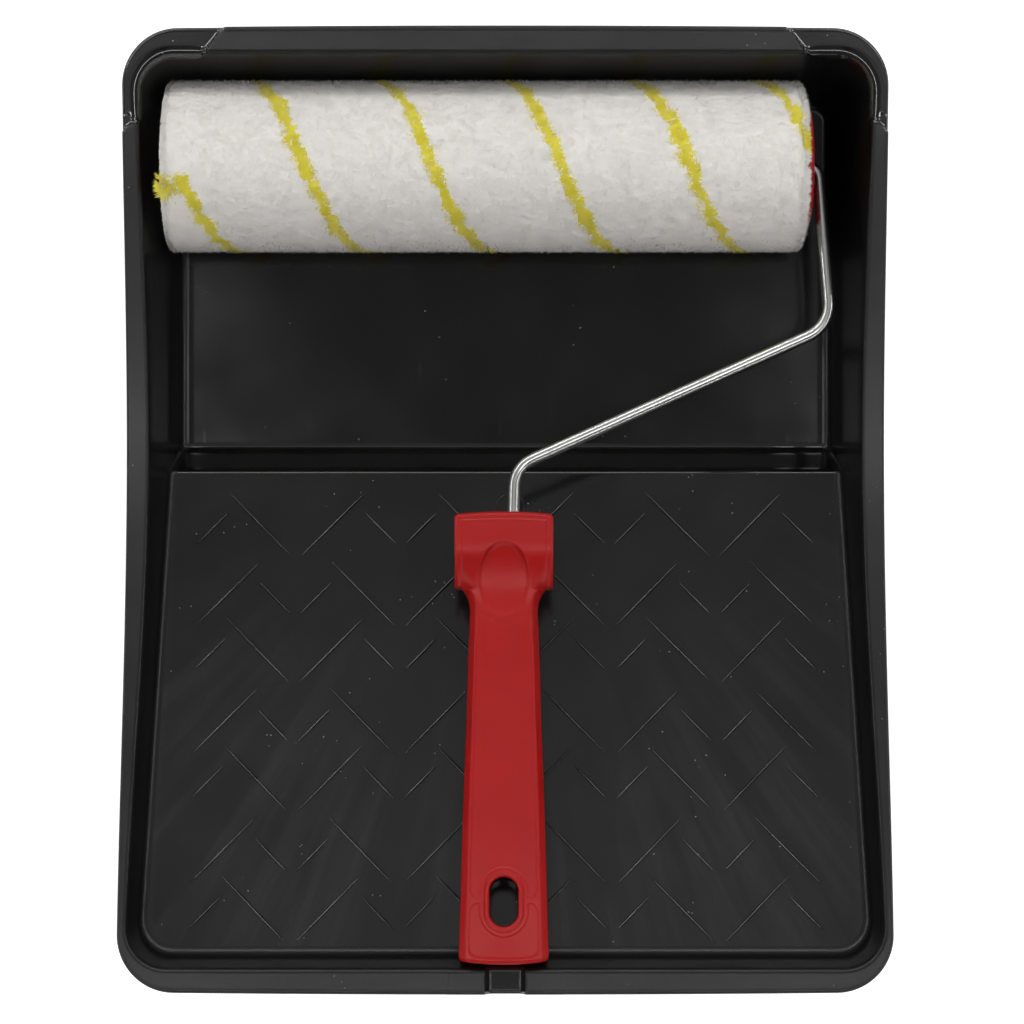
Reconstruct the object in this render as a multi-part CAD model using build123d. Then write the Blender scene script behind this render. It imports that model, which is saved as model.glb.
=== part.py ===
from build123d import *
import os
from math import atan, cos, radians, sqrt, tan

# Nine-inch paint roller set: a moulded tray with its roller lying in it.
# Millimetres. The tray stands on z = 0, the deep end towards +Y, the roller's handle towards -Y.
os.makedirs("parts", exist_ok=True)

# ---- tray: plan ------------------------------------------------------------------------------
tray_width = 272.6          # over the rim
tray_length = 339.6         # over the rim at its corners, before the ends bow out
outer_corner = 20.0
end_bow = 0.8               # how far the ends of the rim bow out at their middle
lip_thickness = 1.6
lip_depth = 3.4             # the rim's turned-down outer edge
beyond = 200.0              # construction blocks reach this far past the tray
tall = 120.0                # and are at least this tall

# ---- tray: height ----------------------------------------------------------------------------
wall = 1.8                  # moulding thickness
rim_front = 77.5            # rim height at the shallow end
# the rim along the side, as pairs of y and height, from past the deep end to past the shallow end
rim_line = [(181.8, 66.0), (124.0, 57.5), (22.0, 45.4), (-62.0, 56.0), (-145.0, 74.0), (-181.8, 78.5)]

# ---- tray: cavity ----------------------------------------------------------------------------
draft = 9.5                 # the walls lean out by this many degrees
ref_z = 46.0                # the height at which the cavity's plan size is given
cavity_width = 256.4
cavity_length = 314.2
cavity_y = 0.6              # the cavity's middle sits this far towards the deep end
cavity_corners = [(-6.0, 6.0), (100.0, 17.0)]   # pairs of a height and the plan's corner radius
floor_z = wall              # top of the well's floor
step_foot_y = 21.7          # the step from the well up to the ramp
step_top_y = 13.5
step_top_z = 18.4
ramp_slope = 0.24
ramp_angle = atan(ramp_slope)
foot_radius = 4.6
step_radius = 2.4
base_radius = 3.2           # floor to wall

# ---- tray: ribs on the ramp ------------------------------------------------------------------
rib_column = 38.2           # spacing of the V ribs across the ramp
rib_row = 45.6              # spacing of equal rows down the ramp
rib_stagger = 25.4          # the second set of rows lies this far below the first
first_row_y = 5.7
long_rib = (25.2, 1.6)      # a long V's arm runs from this x to this x beside its column
short_rib = (13.2, 1.5)
short_drop = 7.5            # a short V starts this far below a long one
rib_width = 1.3
rib_height = 1.0
rib_rows = 7
rib_root = 0.3              # how deep a rib's blade starts in the ramp

# ---- tray: rim details -----------------------------------------------------------------------
spout_drop = 1.6            # the pouring corners lie below the rim
spout_end = [(99.8, 170.0), (106.6, 161.5)]     # the drop's slanting line across the end's rim
spout_side = [(136.3, 133.9), (128.6, 139.2)]   # and across the side's rim
spout_run_out = 0.6         # both lines run on by this share of their length outwards
spout_run_in = 1.6          # and inwards
above_rim = 0.6             # cuts start this far above the rim
notch_top = 15.2            # the handle rest: a trough across the shallow end's rim
notch_floor = 10.4
notch_depth = 2.6
gate_radius = 5.5           # the injection gate's shallow ring
gate_width = 0.7
gate_height = 0.25
gate_place = (1.7, -0.2)

# ---- tray: legs ------------------------------------------------------------------------------
leg_x = 98.0
leg_y = -136.0
leg_width = 34.0
leg_length = 20.0
leg_wall = 2.2

# ---- roller: how it lies in the tray ---------------------------------------------------------
axle_y = 123.8
axle_z = 33.5
tilt = 7.5                  # the frame rises towards the handle by this many degrees

# ---- roller: sleeve --------------------------------------------------------------------------
core_length = 228.6
core_left = -122.0
core_inner_radius = 19.0
core_outer_radius = 20.5
pile_radius = 31.0
pile_end_radius = 22.0
pile_bevel = 9.0            # length of the rounded ends of the pile

# ---- roller: rod -----------------------------------------------------------------------------
rod_radius = 2.25
running_gap = 0.08          # radial, between rod and bush
fit_gap = 0.02              # radial, between the rod and what is fixed on it
washer_gap = 0.05           # radial, between the rod and a washer
axle_end = -121.4
leg_top_x = 113.4           # the rod's corners, in the plane of the frame
knee = (117.3, 65.5)        # x and tray y of each corner
elbow = (3.3, 14.6)
tang_end = (0.8, -104.0)    # the end of the rod inside the handle
axle_bend = 5.2
knee_bend = 13.0
elbow_bend = 11.0

# ---- roller: handle --------------------------------------------------------------------------
handle_length = 156.8
handle_top = (-0.5, -3.3)   # middle of the collar's end, x and tray y
collar_width = 35.6
collar_length = 27.2
collar_taper = 0.3          # the collar narrows by this much on each side
collar_corner = 2.0
shoulder_width = 3.2        # from the collar's lower corner the outline runs in to this far off the neck
shoulder_drop = 0.4
end_crown = 0.9             # both ends of the handle are this much convex
neck_width = 24.2
neck_at = 35.5
butt_width = 31.8
handle_thickness = 18.0
handle_edge = 1.9           # rounding of the handle's edges
butt_edge = 7.5             # and of the underside of its butt
slot_width = 10.9
slot_length = 18.1
slot_at = 137.0
ring_width = 16.8
ring_length = 25.0
ring_height = 0.5
thumb_width = 17.7
thumb_length = 28.0
thumb_at = 24.5
dish_height = 6.0
lean = sqrt(0.5)            # cosine of 45 degrees

# ---- roller: cage ----------------------------------------------------------------------------
cap_flange_radius = 20.9
cap_flange = 3.6
cap_plug_radius = 18.9
inner_cap_left = 96.0       # places along the axle
inner_bush_right = 103.6
outer_cap_left = -116.2
outer_cap_right = -105.2
pocket_radius = 8.0
stop_x = 106.0              # where the rod's pinched ears start
ear_length = 2.0
ear_span = 7.6
ear_thickness = 2.6
push_nut_left = -119.8
bush_radius = 4.6
bush_flange_radius = 6.4
bush_flange = 1.2
washer_radius = 5.6
washer_thickness = 0.8
cage_wires = 5
cage_wire_radius = 1.0
cage_wire_seat = 14.0       # distance of a cage wire's ends from the axle
cage_wire_depth = 4.0       # how far its ends reach into the caps
cage_wire_run = 5.0         # straight stretch outside each cap
cage_wire_ramp = 22.0       # it has bowed out to the core this far from each cap
cage_wire_bend = 14.0
cage_turn = 90.0            # where the first cage wire stands round the axle
seat_length = 8.4
seat_gap = 0.03
bar_turn = 54.0       # the bars in the cap's groove stand this far round
bar_size = (2.2, 7.2, 1.4)
core_gap = 0.2              # between the core's end and the cap's flange
cap_chamfer = 0.8
groove = (10.4, 17.6)       # radii of the groove in the face of the inner cap
draft_step = 0.2            # a groove's sides lean by this much
plain_groove = (9.2, 15.6)  # radii of the groove in the outer cap
plain_groove_depth = 2.4
nut_thickness = 1.0
nut_radius = 6.0
nut_dome = 0.5
inner_washer_left = 105.1
outer_washer_left = -118.7


# ---- tray ------------------------------------------------------------------------------------
def rim_curve(lift=0.0):
    """The rim's height along the tray, as a curve in the YZ plane."""
    return Spline([Vector(0, y, z + lift) for y, z in rim_line])


def band(top, bottom):
    """Everything between two copies of the rim's surface, across the whole tray."""
    upper, lower = rim_curve(top), rim_curve(bottom)
    sides = [Line(upper @ 0, lower @ 0), Line(upper @ 1, lower @ 1)]
    face = make_face([upper, lower] + sides)
    return extrude(face, amount=tray_width, dir=(1, 0, 0), both=True)


def outer_outline(inset=0.0):
    """The rim's plan, with bowed ends."""
    x, y = tray_width / 2, tray_length / 2
    outline = make_face([
        ThreePointArc((-x, y), (0, y + end_bow), (x, y)), Line((x, y), (x, -y)),
        ThreePointArc((x, -y), (0, -y - end_bow), (-x, -y)), Line((-x, -y), (-x, y))])
    outline = fillet(outline.vertices(), outer_corner)
    return offset(outline, -inset) if inset else outline


def rim_prism(inset=0.0):
    """The rim's plan as a tall block."""
    return extrude(outer_outline(inset), amount=tall)


def floor_profile(grow=0.0):
    """Side view of the cavity: well floor, step and ramp, open at the top."""
    ramp_end = step_top_z + ramp_slope * (step_top_y + beyond)
    points = [(beyond, tall), (beyond, floor_z), (step_foot_y, floor_z),
              (step_top_y, step_top_z), (-beyond, ramp_end), (-beyond, tall)]
    face = make_face(Polyline(points, close=True).edges())
    foot = face.vertices().sort_by_distance((step_foot_y, floor_z))[0]
    face = fillet(foot, foot_radius)
    lip = face.vertices().sort_by_distance((step_top_y, step_top_z))[0]
    face = fillet(lip, step_radius)
    return offset(face, grow, kind=Kind.INTERSECTION) if grow else face


def cavity(grow=0.0):
    """The hollow of the tray, or with grow, the hollow and its walls."""
    sections = []
    for z, corner in cavity_corners:
        out = 2 * ((z - ref_z) * tan(radians(draft)) + grow / cos(radians(draft)))
        plan = RectangleRounded(cavity_width + out, cavity_length + out, corner + grow)
        sections.append(Pos(0, cavity_y, z) * plan)
    funnel = loft(sections, ruled=True)
    side_plane = Plane(origin=(0, 0, 0), x_dir=(0, 1, 0), z_dir=(1, 0, 0))
    room = extrude(side_plane * floor_profile(grow), amount=tray_width, both=True)
    block = funnel & room
    leaning = -0.3
    floor = [f for f in block.faces() if f.normal_at().Z < leaning]
    rim_edges = []
    for face in floor:
        for edge in face.edges():
            if sum(any(edge.is_same(other) for other in f.edges()) for f in floor) == 1:
                rim_edges.append(edge)
    return fillet(rim_edges, base_radius)


def moulded_body():
    """The walls, floor, step and ramp, cut off along the rim."""
    shell = cavity(wall) - cavity()
    return shell & band(0.0, -tall)


def flange():
    """The flat rim and its turned-down outer edge."""
    hole = cavity()
    plate = (rim_prism() - hole) & band(0.0, -wall)
    lip = (rim_prism() - rim_prism(lip_thickness)) & band(0.0, -lip_depth)
    return plate + lip


def corner_zones(top, bottom, grow=0.0):
    """The two pouring corners as blocks, each bounded by slanting ends."""
    end, side = Line(*spout_end), Line(*spout_side)
    out, into = -spout_run_out, spout_run_in
    corner = ((side @ out).X, (end @ out).Y)
    outline = Polyline(end @ out, corner, side @ out, side @ into, end @ into, close=True)
    zone = offset(make_face(outline.edges()), grow) if grow else make_face(outline.edges())
    block = extrude(zone, amount=tall) & band(top, bottom)
    return block + mirror(block, Plane.YZ)


def notch(width_top, width_floor, top, depth):
    """A trough along Y across the shallow end's rim."""
    reach = tray_length / 2 + 6
    length = 24
    z = rim_front + top
    section = Plane(origin=(0, -reach, 0), x_dir=(1, 0, 0), z_dir=(0, -1, 0)) * make_face(Polyline(
        (-width_top / 2, z), (width_top / 2, z), (width_floor / 2, z - depth),
        (-width_floor / 2, z - depth), close=True).edges())
    return extrude(section, amount=-length)


def ramp_plane():
    """The plane of the ramp's surface, its local y running up the slope towards the step."""
    return Plane(origin=(0, step_top_y, step_top_z), x_dir=(1, 0, 0), z_dir=(0, ramp_slope, 1))


def rib(x_outer, x_inner, y_top):
    """One slim raised blade on the ramp, pointed at both ends, running inwards and down."""
    length = sqrt(2) * (x_outer - x_inner)
    from_step = y_top - step_top_y - (x_outer - x_inner) / 2
    middle = ((x_outer + x_inner) / 2, from_step / cos(ramp_angle))
    half, bulge = length / 2, rib_width / 2
    blade = make_face([ThreePointArc((-half, 0), (0, bulge), (half, 0)),
                       ThreePointArc((half, 0), (0, -bulge), (-half, 0))])
    blade = Pos(*middle) * Rot(0, 0, 45) * blade
    return extrude(ramp_plane() * Pos(0, 0, -rib_root) * blade, amount=rib_height + rib_root)


def ribs():
    """Rows of V ribs, long and short by turns, across the ramp."""
    blades = []
    for row in range(rib_rows):
        y_top = first_row_y - (row // 2) * rib_row - (row % 2) * rib_stagger
        for column in range(-3, 4):
            is_long = (column + row) % 2 == 0
            outer, inner = long_rib if is_long else short_rib
            top = y_top if is_long else y_top - short_drop
            for side in (-1, 1):
                if abs(column) == 3 and side * column > 0:
                    continue
                blade = rib(outer, inner, top)
                blade = blade if side > 0 else mirror(blade, Plane.YZ)
                blades.append(Pos(column * rib_column, 0, 0) * blade)
    return blades


def leg():
    """A three-sided hollow leg moulded under the shallow end, from the ramp to the ground."""
    outer = Pos(leg_x, leg_y) * Rectangle(leg_width, leg_length)
    inner = Pos(leg_x, leg_y + leg_wall) * Rectangle(leg_width - 2 * leg_wall, leg_length)
    top = step_top_z - wall / 2
    under = Plane.YZ * make_face(Polyline(
        (-beyond, 0), (step_top_y, 0), (step_top_y, top),
        (-beyond, top + ramp_slope * (step_top_y + beyond)), close=True).edges())
    return extrude(outer - inner, amount=tall) & extrude(under, amount=beyond, both=True)


def gate():
    """The shallow ring left by the injection gate at the top of the ramp."""
    x, y = gate_place
    ring = Circle(gate_radius) - Circle(gate_radius - gate_width)
    place = Pos(x, (y - step_top_y) / cos(ramp_angle), -rib_root)
    return extrude(ramp_plane() * place * ring, amount=gate_height + rib_root)


def make_tray():
    """The whole moulding."""
    hole = cavity()
    rim = flange()
    rim -= corner_zones(above_rim, -spout_drop)
    rim += (rim_prism() - hole) & corner_zones(-spout_drop, -spout_drop - wall, grow=wall)
    trough = notch(notch_top + 2 * wall, notch_floor + 2 * wall, -wall / 2, notch_depth + wall / 2)
    rim += (rim_prism() - hole) & trough
    body = moulded_body()
    body -= corner_zones(above_rim, -spout_drop)
    body += rim
    body -= notch(notch_top, notch_floor, above_rim, notch_depth + above_rim)
    post = leg()
    return body + [post, mirror(post, Plane.YZ), gate()] + ribs()


# ---- roller frame ----------------------------------------------------------------------------
def lay(shape):
    """Lay a piece, made with the axle on X and the handle towards -Y, into the tray."""
    return Pos(0, axle_y, axle_z) * Rot(-tilt, 0, 0) * shape


def in_frame(point):
    """A point seen from above, as a point in the plane of the frame."""
    return (point[0], (point[1] - axle_y) / cos(radians(tilt)))


def turned(points):
    """A solid turned about the axle, from pairs of a place on the axle and a radius."""
    return revolve(make_face(Polyline(points, close=True).edges()), Axis.X)


def washer(left, right, outer, inner):
    """A plain ring on the axle."""
    return turned([(left, inner), (right, inner), (right, outer), (left, outer)])


def rod(grow=0.0):
    """The bent rod: axle, leg, long diagonal and the tang inside the handle."""
    corners = [(axle_end, 0), (leg_top_x, 0), in_frame(knee), in_frame(elbow), in_frame(tang_end)]
    path = FilletPolyline(*corners, radius=[axle_bend, knee_bend, elbow_bend])
    return sweep((path ^ 0) * Circle(rod_radius + grow), path=path)


def make_wire_frame():
    """The rod with the pinched ears that stop the inner washer."""
    ears = Pos(stop_x + ear_length / 2, 0, 0) * Box(ear_length, ear_span, ear_thickness)
    return rod() + ears


def handle_outline():
    """The handle's plan: a broad collar, a neck and a grip that widens to the butt."""
    collar, neck, butt = collar_width / 2, neck_width / 2, butt_width / 2
    corner, shoulder = (collar, 0), (collar - collar_taper, -collar_length)
    inside = (neck + shoulder_width, -collar_length - shoulder_drop)
    waist, end = (neck, -neck_at), (butt, -handle_length)
    side = [Line(corner, shoulder), Line(shoulder, inside),
            Spline(inside, waist, tangents=[(-1, -0.9), (0, -1)]),
            Spline(waist, end, tangents=[(0.01, -1), (0.04, -1)])]
    other = [mirror(edge, Plane.YZ) for edge in side]
    ends = [ThreePointArc((-collar, 0), (0, end_crown), corner),
            ThreePointArc((-butt, -handle_length), (0, -handle_length - end_crown), end)]
    return make_face(side + other + ends)


def make_handle():
    """The moulded handle: thumb dish, hanging slot, raised ring round the slot, bore for the tang."""
    half = handle_thickness / 2
    body = extrude(handle_outline(), amount=half, both=True)
    corners = [0.0, -collar_length, -handle_length]
    posts = [e for e in body.edges().filter_by(Axis.Z)
             if min(abs(e.center().Y - y) for y in corners) < shoulder_drop / 2]
    body = fillet(posts, collar_corner)
    under = [e for e in body.edges() if e.center().Z < -0.9 * half and e.center().Y < -handle_length]
    body = fillet(under, butt_edge)
    outline = [e for e in body.edges() if abs(e.center().Z - half) < 0.01]
    body = fillet(outline, handle_edge)
    face = Plane.XY.offset(half)
    ring = face * Pos(0, -slot_at) * SlotOverall(ring_length, ring_width, rotation=90)
    slot = Pos(0, -slot_at) * SlotOverall(slot_length, slot_width, rotation=90)
    body += extrude(ring, amount=ring_height)
    body -= extrude(slot, amount=handle_thickness, both=True)
    dish = scale(Sphere(1), (thumb_width * lean, thumb_length * lean, dish_height))
    body -= Pos(0, -thumb_at, half + dish_height * lean) * dish
    return Pos(*in_frame(handle_top)) * body - rod(fit_gap)


# ---- cage ------------------------------------------------------------------------------------
def cage_wire(index):
    """One sprung wire, seated in both caps and bowed out to the core."""
    left, right = outer_cap_right, inner_cap_left
    seat, bow = cage_wire_seat, core_inner_radius - cage_wire_radius - 0.1
    depth, run, ramp = cage_wire_depth, cage_wire_run, cage_wire_ramp
    path = FilletPolyline((left - depth, seat), (left + run, seat), (left + ramp, bow),
                          (right - ramp, bow), (right - run, seat), (right + depth, seat),
                          radius=cage_wire_bend)
    wire = sweep((path ^ 0) * Circle(cage_wire_radius), path=path)
    return Rot(360 * index / cage_wires + cage_turn, 0, 0) * wire


def seats(x):
    """Blind holes for the cage wires in a cap, centred on x."""
    hole = Rot(0, 90, 0) * Cylinder(cage_wire_radius + seat_gap, seat_length)
    return [Rot(360 * i / cage_wires + cage_turn, 0, 0) * Pos(x, cage_wire_seat, 0) * hole
            for i in range(cage_wires)]


def make_inner_end_cap():
    """The flanged cap beside the rod's leg: plug, flange and a pocket for the bearing."""
    face = core_left + core_length + core_gap + cap_flange
    inner, outer = groove
    depth = bar_size[0]
    cap = turned([(inner_cap_left, bush_radius), (inner_cap_left, cap_plug_radius - cap_chamfer),
                  (inner_cap_left + 2, cap_plug_radius), (face - cap_flange, cap_plug_radius),
                  (face - cap_flange, cap_flange_radius), (face - cap_chamfer, cap_flange_radius),
                  (face, cap_flange_radius - cap_chamfer), (face, outer + draft_step),
                  (face - depth, outer - draft_step), (face - depth, inner + draft_step),
                  (face, inner - draft_step), (face, pocket_radius),
                  (inner_bush_right, pocket_radius), (inner_bush_right, bush_radius)])
    bar = Pos(face - depth / 2, (inner + outer) / 2, 0) * Box(*bar_size)
    bars = [Rot(360 * i / cage_wires + bar_turn, 0, 0) * bar for i in range(cage_wires)]
    return cap + bars - seats(inner_cap_left)


def make_outer_end_cap():
    """The plain cap at the far end of the cage."""
    left, right = outer_cap_left, outer_cap_right
    inner, outer = plain_groove
    floor = left + plain_groove_depth
    cap = turned([(left, bush_radius), (left, inner - draft_step), (floor, inner + draft_step),
                  (floor, outer - draft_step), (left, outer + draft_step),
                  (left, cap_plug_radius - cap_chamfer), (left + 2, cap_plug_radius),
                  (right, cap_plug_radius), (right, bush_radius)])
    return cap - seats(right)


def bush(left, right, flange_left):
    """A nylon bearing whose flange lies on the side away from the cage."""
    bore = rod_radius + running_gap
    if flange_left:
        return turned([(left - bush_flange, bore), (right, bore), (right, bush_radius),
                       (left, bush_radius), (left, bush_flange_radius),
                       (left - bush_flange, bush_flange_radius)])
    return turned([(left, bore), (right + bush_flange, bore), (right + bush_flange, bush_flange_radius),
                   (right, bush_flange_radius), (right, bush_radius), (left, bush_radius)])


def loose_washer(left):
    """A steel washer on the rod."""
    return washer(left, left + washer_thickness, washer_radius, rod_radius + washer_gap)


def make_push_nut():
    """The domed spring nut pressed on the end of the axle."""
    left, right, grip = push_nut_left, push_nut_left + nut_thickness, rod_radius + fit_gap
    return turned([(left, grip), (right, 3.4), (right, nut_radius), (left + 0.4, nut_radius),
                   (left + 0.4, 3.8), (left - nut_dome, grip)])


# ---- sleeve ----------------------------------------------------------------------------------
def make_core_tube():
    """The stiff tube that the pile is bonded to."""
    return washer(core_left, core_left + core_length, core_outer_radius, core_inner_radius)


def make_pile_cover():
    """The pile as one closed ring with rounded ends."""
    left, right = core_left, core_left + core_length
    low, mid, high = core_outer_radius, pile_end_radius, pile_radius
    bend_x, bend_r = pile_bevel * (1 - lean), (high - mid) * lean
    face = make_face([
        Line((left, low), (left, mid)),
        ThreePointArc((left, mid), (left + bend_x, mid + bend_r), (left + pile_bevel, high)),
        Line((left + pile_bevel, high), (right - pile_bevel, high)),
        ThreePointArc((right - pile_bevel, high), (right - bend_x, mid + bend_r), (right, mid)),
        Line((right, mid), (right, low)), Line((right, low), (left, low))])
    return revolve(face, Axis.X)


# ---- write the pieces ------------------------------------------------------------------------
pieces = {
    "tray": make_tray(),
    "handle": lay(make_handle()),
    "wire_frame": lay(make_wire_frame()),
    "inner_washer": lay(loose_washer(inner_washer_left)),
    "outer_washer": lay(loose_washer(outer_washer_left)),
    "push_nut": lay(make_push_nut()),
    "inner_end_cap": lay(make_inner_end_cap()),
    "outer_end_cap": lay(make_outer_end_cap()),
    "inner_bush": lay(bush(inner_cap_left, inner_bush_right, False)),
    "outer_bush": lay(bush(outer_cap_left, outer_cap_right, True)),
    "core_tube": lay(make_core_tube()),
    "pile_cover": lay(make_pile_cover()),
}
for index in range(cage_wires):
    pieces[f"cage_wire_{index + 1}"] = lay(cage_wire(index))

for name, shape in pieces.items():
    export_step(shape, f"parts/{name}.step")
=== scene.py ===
from math import ceil, cos, hypot, pi, radians, sin, sqrt, tan

import bmesh
import bpy
import numpy as np
from mathutils import Matrix, Vector, noise


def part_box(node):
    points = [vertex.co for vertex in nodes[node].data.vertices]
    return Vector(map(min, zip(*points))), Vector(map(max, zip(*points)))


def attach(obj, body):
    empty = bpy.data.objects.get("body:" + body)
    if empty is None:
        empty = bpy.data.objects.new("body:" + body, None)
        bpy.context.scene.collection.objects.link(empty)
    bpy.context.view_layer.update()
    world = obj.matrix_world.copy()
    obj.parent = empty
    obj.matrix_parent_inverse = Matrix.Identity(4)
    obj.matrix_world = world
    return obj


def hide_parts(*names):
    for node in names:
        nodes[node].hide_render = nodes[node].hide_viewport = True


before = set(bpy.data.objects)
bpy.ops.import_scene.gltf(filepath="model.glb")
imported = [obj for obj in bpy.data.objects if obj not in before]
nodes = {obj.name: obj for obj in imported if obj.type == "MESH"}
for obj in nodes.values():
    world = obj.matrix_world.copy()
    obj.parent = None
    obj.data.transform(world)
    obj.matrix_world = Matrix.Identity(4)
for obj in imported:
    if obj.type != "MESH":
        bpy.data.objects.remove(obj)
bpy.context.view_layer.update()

MM = 0.001
rng = np.random.default_rng(7)


# ---- helpers: meshes -------------------------------------------------------------------------
def new_object(name, points, faces, materials, places=None):
    """A smooth mesh object from points in millimetres in the shared frame."""
    mesh = bpy.data.meshes.new(name)
    mesh.from_pydata([(p[0] * MM, p[1] * MM, p[2] * MM) for p in points], [], faces)
    for mat in materials:
        mesh.materials.append(mat)
    if places is not None:
        mesh.polygons.foreach_set("material_index", places)
    mesh.update()
    mesh.shade_smooth()
    obj = bpy.data.objects.new(name, mesh)
    bpy.context.scene.collection.objects.link(obj)
    return obj


def apply_modifiers(obj):
    """Replace an object's mesh by what its modifiers make of it."""
    graph = bpy.context.evaluated_depsgraph_get()
    mesh = bpy.data.meshes.new_from_object(obj.evaluated_get(graph))
    obj.modifiers.clear()
    obj.data = mesh


def place(obj, body, slot, *replaced):
    """Hang a piece on its body and hide the nodes that it stands for; slot, its finish's name, is not
    used.
    """
    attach(obj, body)
    if replaced:
        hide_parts(*replaced)
    return obj


def smoothstep(low, high, value):
    t = min(max((value - low) / (high - low), 0.0), 1.0)
    return t * t * (3 - 2 * t)


def lerp(a, b, t):
    return a + (b - a) * t


def arc(start, corner, end, steps):
    """Points from start to end on the round stretch whose tangents meet at corner."""
    turn = (corner - start).angle(end - corner, 0.0)
    weight = cos(turn / 2)
    points = []
    for i in range(steps + 1):
        t = i / steps
        a, b, c = (1 - t) ** 2, 2 * t * (1 - t) * weight, t * t
        points.append((start * a + corner * b + end * c) / (a + b + c))
    return points


def cubic_through(xs, ys):
    """A smooth curve through points, as a function of x."""
    n, h = len(xs), np.diff(xs)
    matrix, right = np.eye(n), np.zeros(n)
    for i in range(1, n - 1):
        matrix[i, i - 1:i + 2] = h[i - 1], 2 * (h[i - 1] + h[i]), h[i]
        right[i] = 6 * ((ys[i + 1] - ys[i]) / h[i] - (ys[i] - ys[i - 1]) / h[i - 1])
    bend = np.linalg.solve(matrix, right)

    def curve(x):
        i = int(np.clip(np.searchsorted(xs, x) - 1, 0, n - 2))
        a, b = xs[i + 1] - x, x - xs[i]
        return float((bend[i] * a ** 3 + bend[i + 1] * b ** 3) / (6 * h[i])
                     + (ys[i] / h[i] - bend[i] * h[i] / 6) * a
                     + (ys[i + 1] / h[i] - bend[i + 1] * h[i] / 6) * b)
    return curve


def ring_faces(count, rings, closed=True):
    """Quads between neighbouring rings of count points each."""
    last = count if closed else count - 1
    return [(r * count + i, r * count + (i + 1) % count, (r + 1) * count + (i + 1) % count,
             (r + 1) * count + i) for r in range(rings - 1) for i in range(last)]


# ---- helpers: materials ----------------------------------------------------------------------
def add(tree, kind, settings=None, **inputs):
    """A shader node with its inputs set or linked; a_0 and a_1 are inputs by number."""
    node = tree.nodes.new("ShaderNode" + kind)
    for key, value in (settings or {}).items():
        setattr(node, key, value)
    for key, value in inputs.items():
        socket = node.inputs[int(key[2:])] if key.startswith("a_") else node.inputs[key]
        if isinstance(value, bpy.types.NodeSocket):
            tree.links.new(value, socket)
        else:
            socket.default_value = value
    return node


def math_node(tree, operation, a, b=0.0, clamp=False):
    node = add(tree, "Math", {"operation": operation, "use_clamp": clamp}, a_0=a, a_1=b)
    return node.outputs[0]


def grain(tree, vector, scale, detail=2.0, roughness=0.5):
    """Noise between 0 and 1, its features about 1/scale metres wide."""
    return add(tree, "TexNoise", Vector=vector, Scale=scale, Detail=detail,
               Roughness=roughness).outputs["Fac"]


def remap(tree, value, low, high, to_low, to_high):
    node = add(tree, "MapRange", {"clamp": True}, a_0=value, a_1=low, a_2=high, a_3=to_low, a_4=to_high)
    return node.outputs[0]


def stretch(tree, vector, size):
    return add(tree, "Mapping", {"vector_type": "POINT"}, Vector=vector, Scale=size).outputs[0]


def grey(value):
    return value, value, value


def tint(tree, factor, dark, light):
    """A colour between two, by a factor."""
    node = add(tree, "Mix", {"data_type": "RGBA"}, Factor=factor)
    node.inputs[6].default_value = (*dark, 1)
    node.inputs[7].default_value = (*light, 1)
    return node.outputs[2]


def tint_over(tree, factor, colour, light):
    """A colour painted over another socket's colour, by a factor."""
    node = add(tree, "Mix", {"data_type": "RGBA"}, Factor=factor)
    tree.links.new(colour, node.inputs[6])
    node.inputs[7].default_value = (*light, 1)
    return node.outputs[2]


def bump(tree, heights):
    """Stacked bumps from pairs of a height between 0 and 1 and its depth in millimetres."""
    normal = None
    for height, depth in heights:
        node = add(tree, "Bump", Strength=1.0, Distance=depth * MM, Height=height)
        if normal is not None:
            tree.links.new(normal, node.inputs["Normal"])
        normal = node.outputs["Normal"]
    return normal


def material(name, **fixed):
    """A material, its tree, its shader and its object coordinates."""
    mat = bpy.data.materials.new(name)
    mat.use_nodes = True
    tree = mat.node_tree
    shader = tree.nodes["Principled BSDF"]
    for key, value in fixed.items():
        shader.inputs[key.replace("_", " ")].default_value = value
    coords = add(tree, "TexCoord").outputs["Object"]
    return mat, tree, shader, coords


def specks(tree, coords, scale, size):
    """Sparse round specks: 1 on a speck, 0 elsewhere."""
    cells = add(tree, "TexVoronoi", Vector=coords, Scale=scale)
    near = remap(tree, cells.outputs["Distance"], size * 0.6, size, 1.0, 0.0)
    picked = math_node(tree, "GREATER_THAN", grain(tree, coords, scale * 0.21, 1.0), 0.58)
    return math_node(tree, "MULTIPLY", near, picked)


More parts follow.
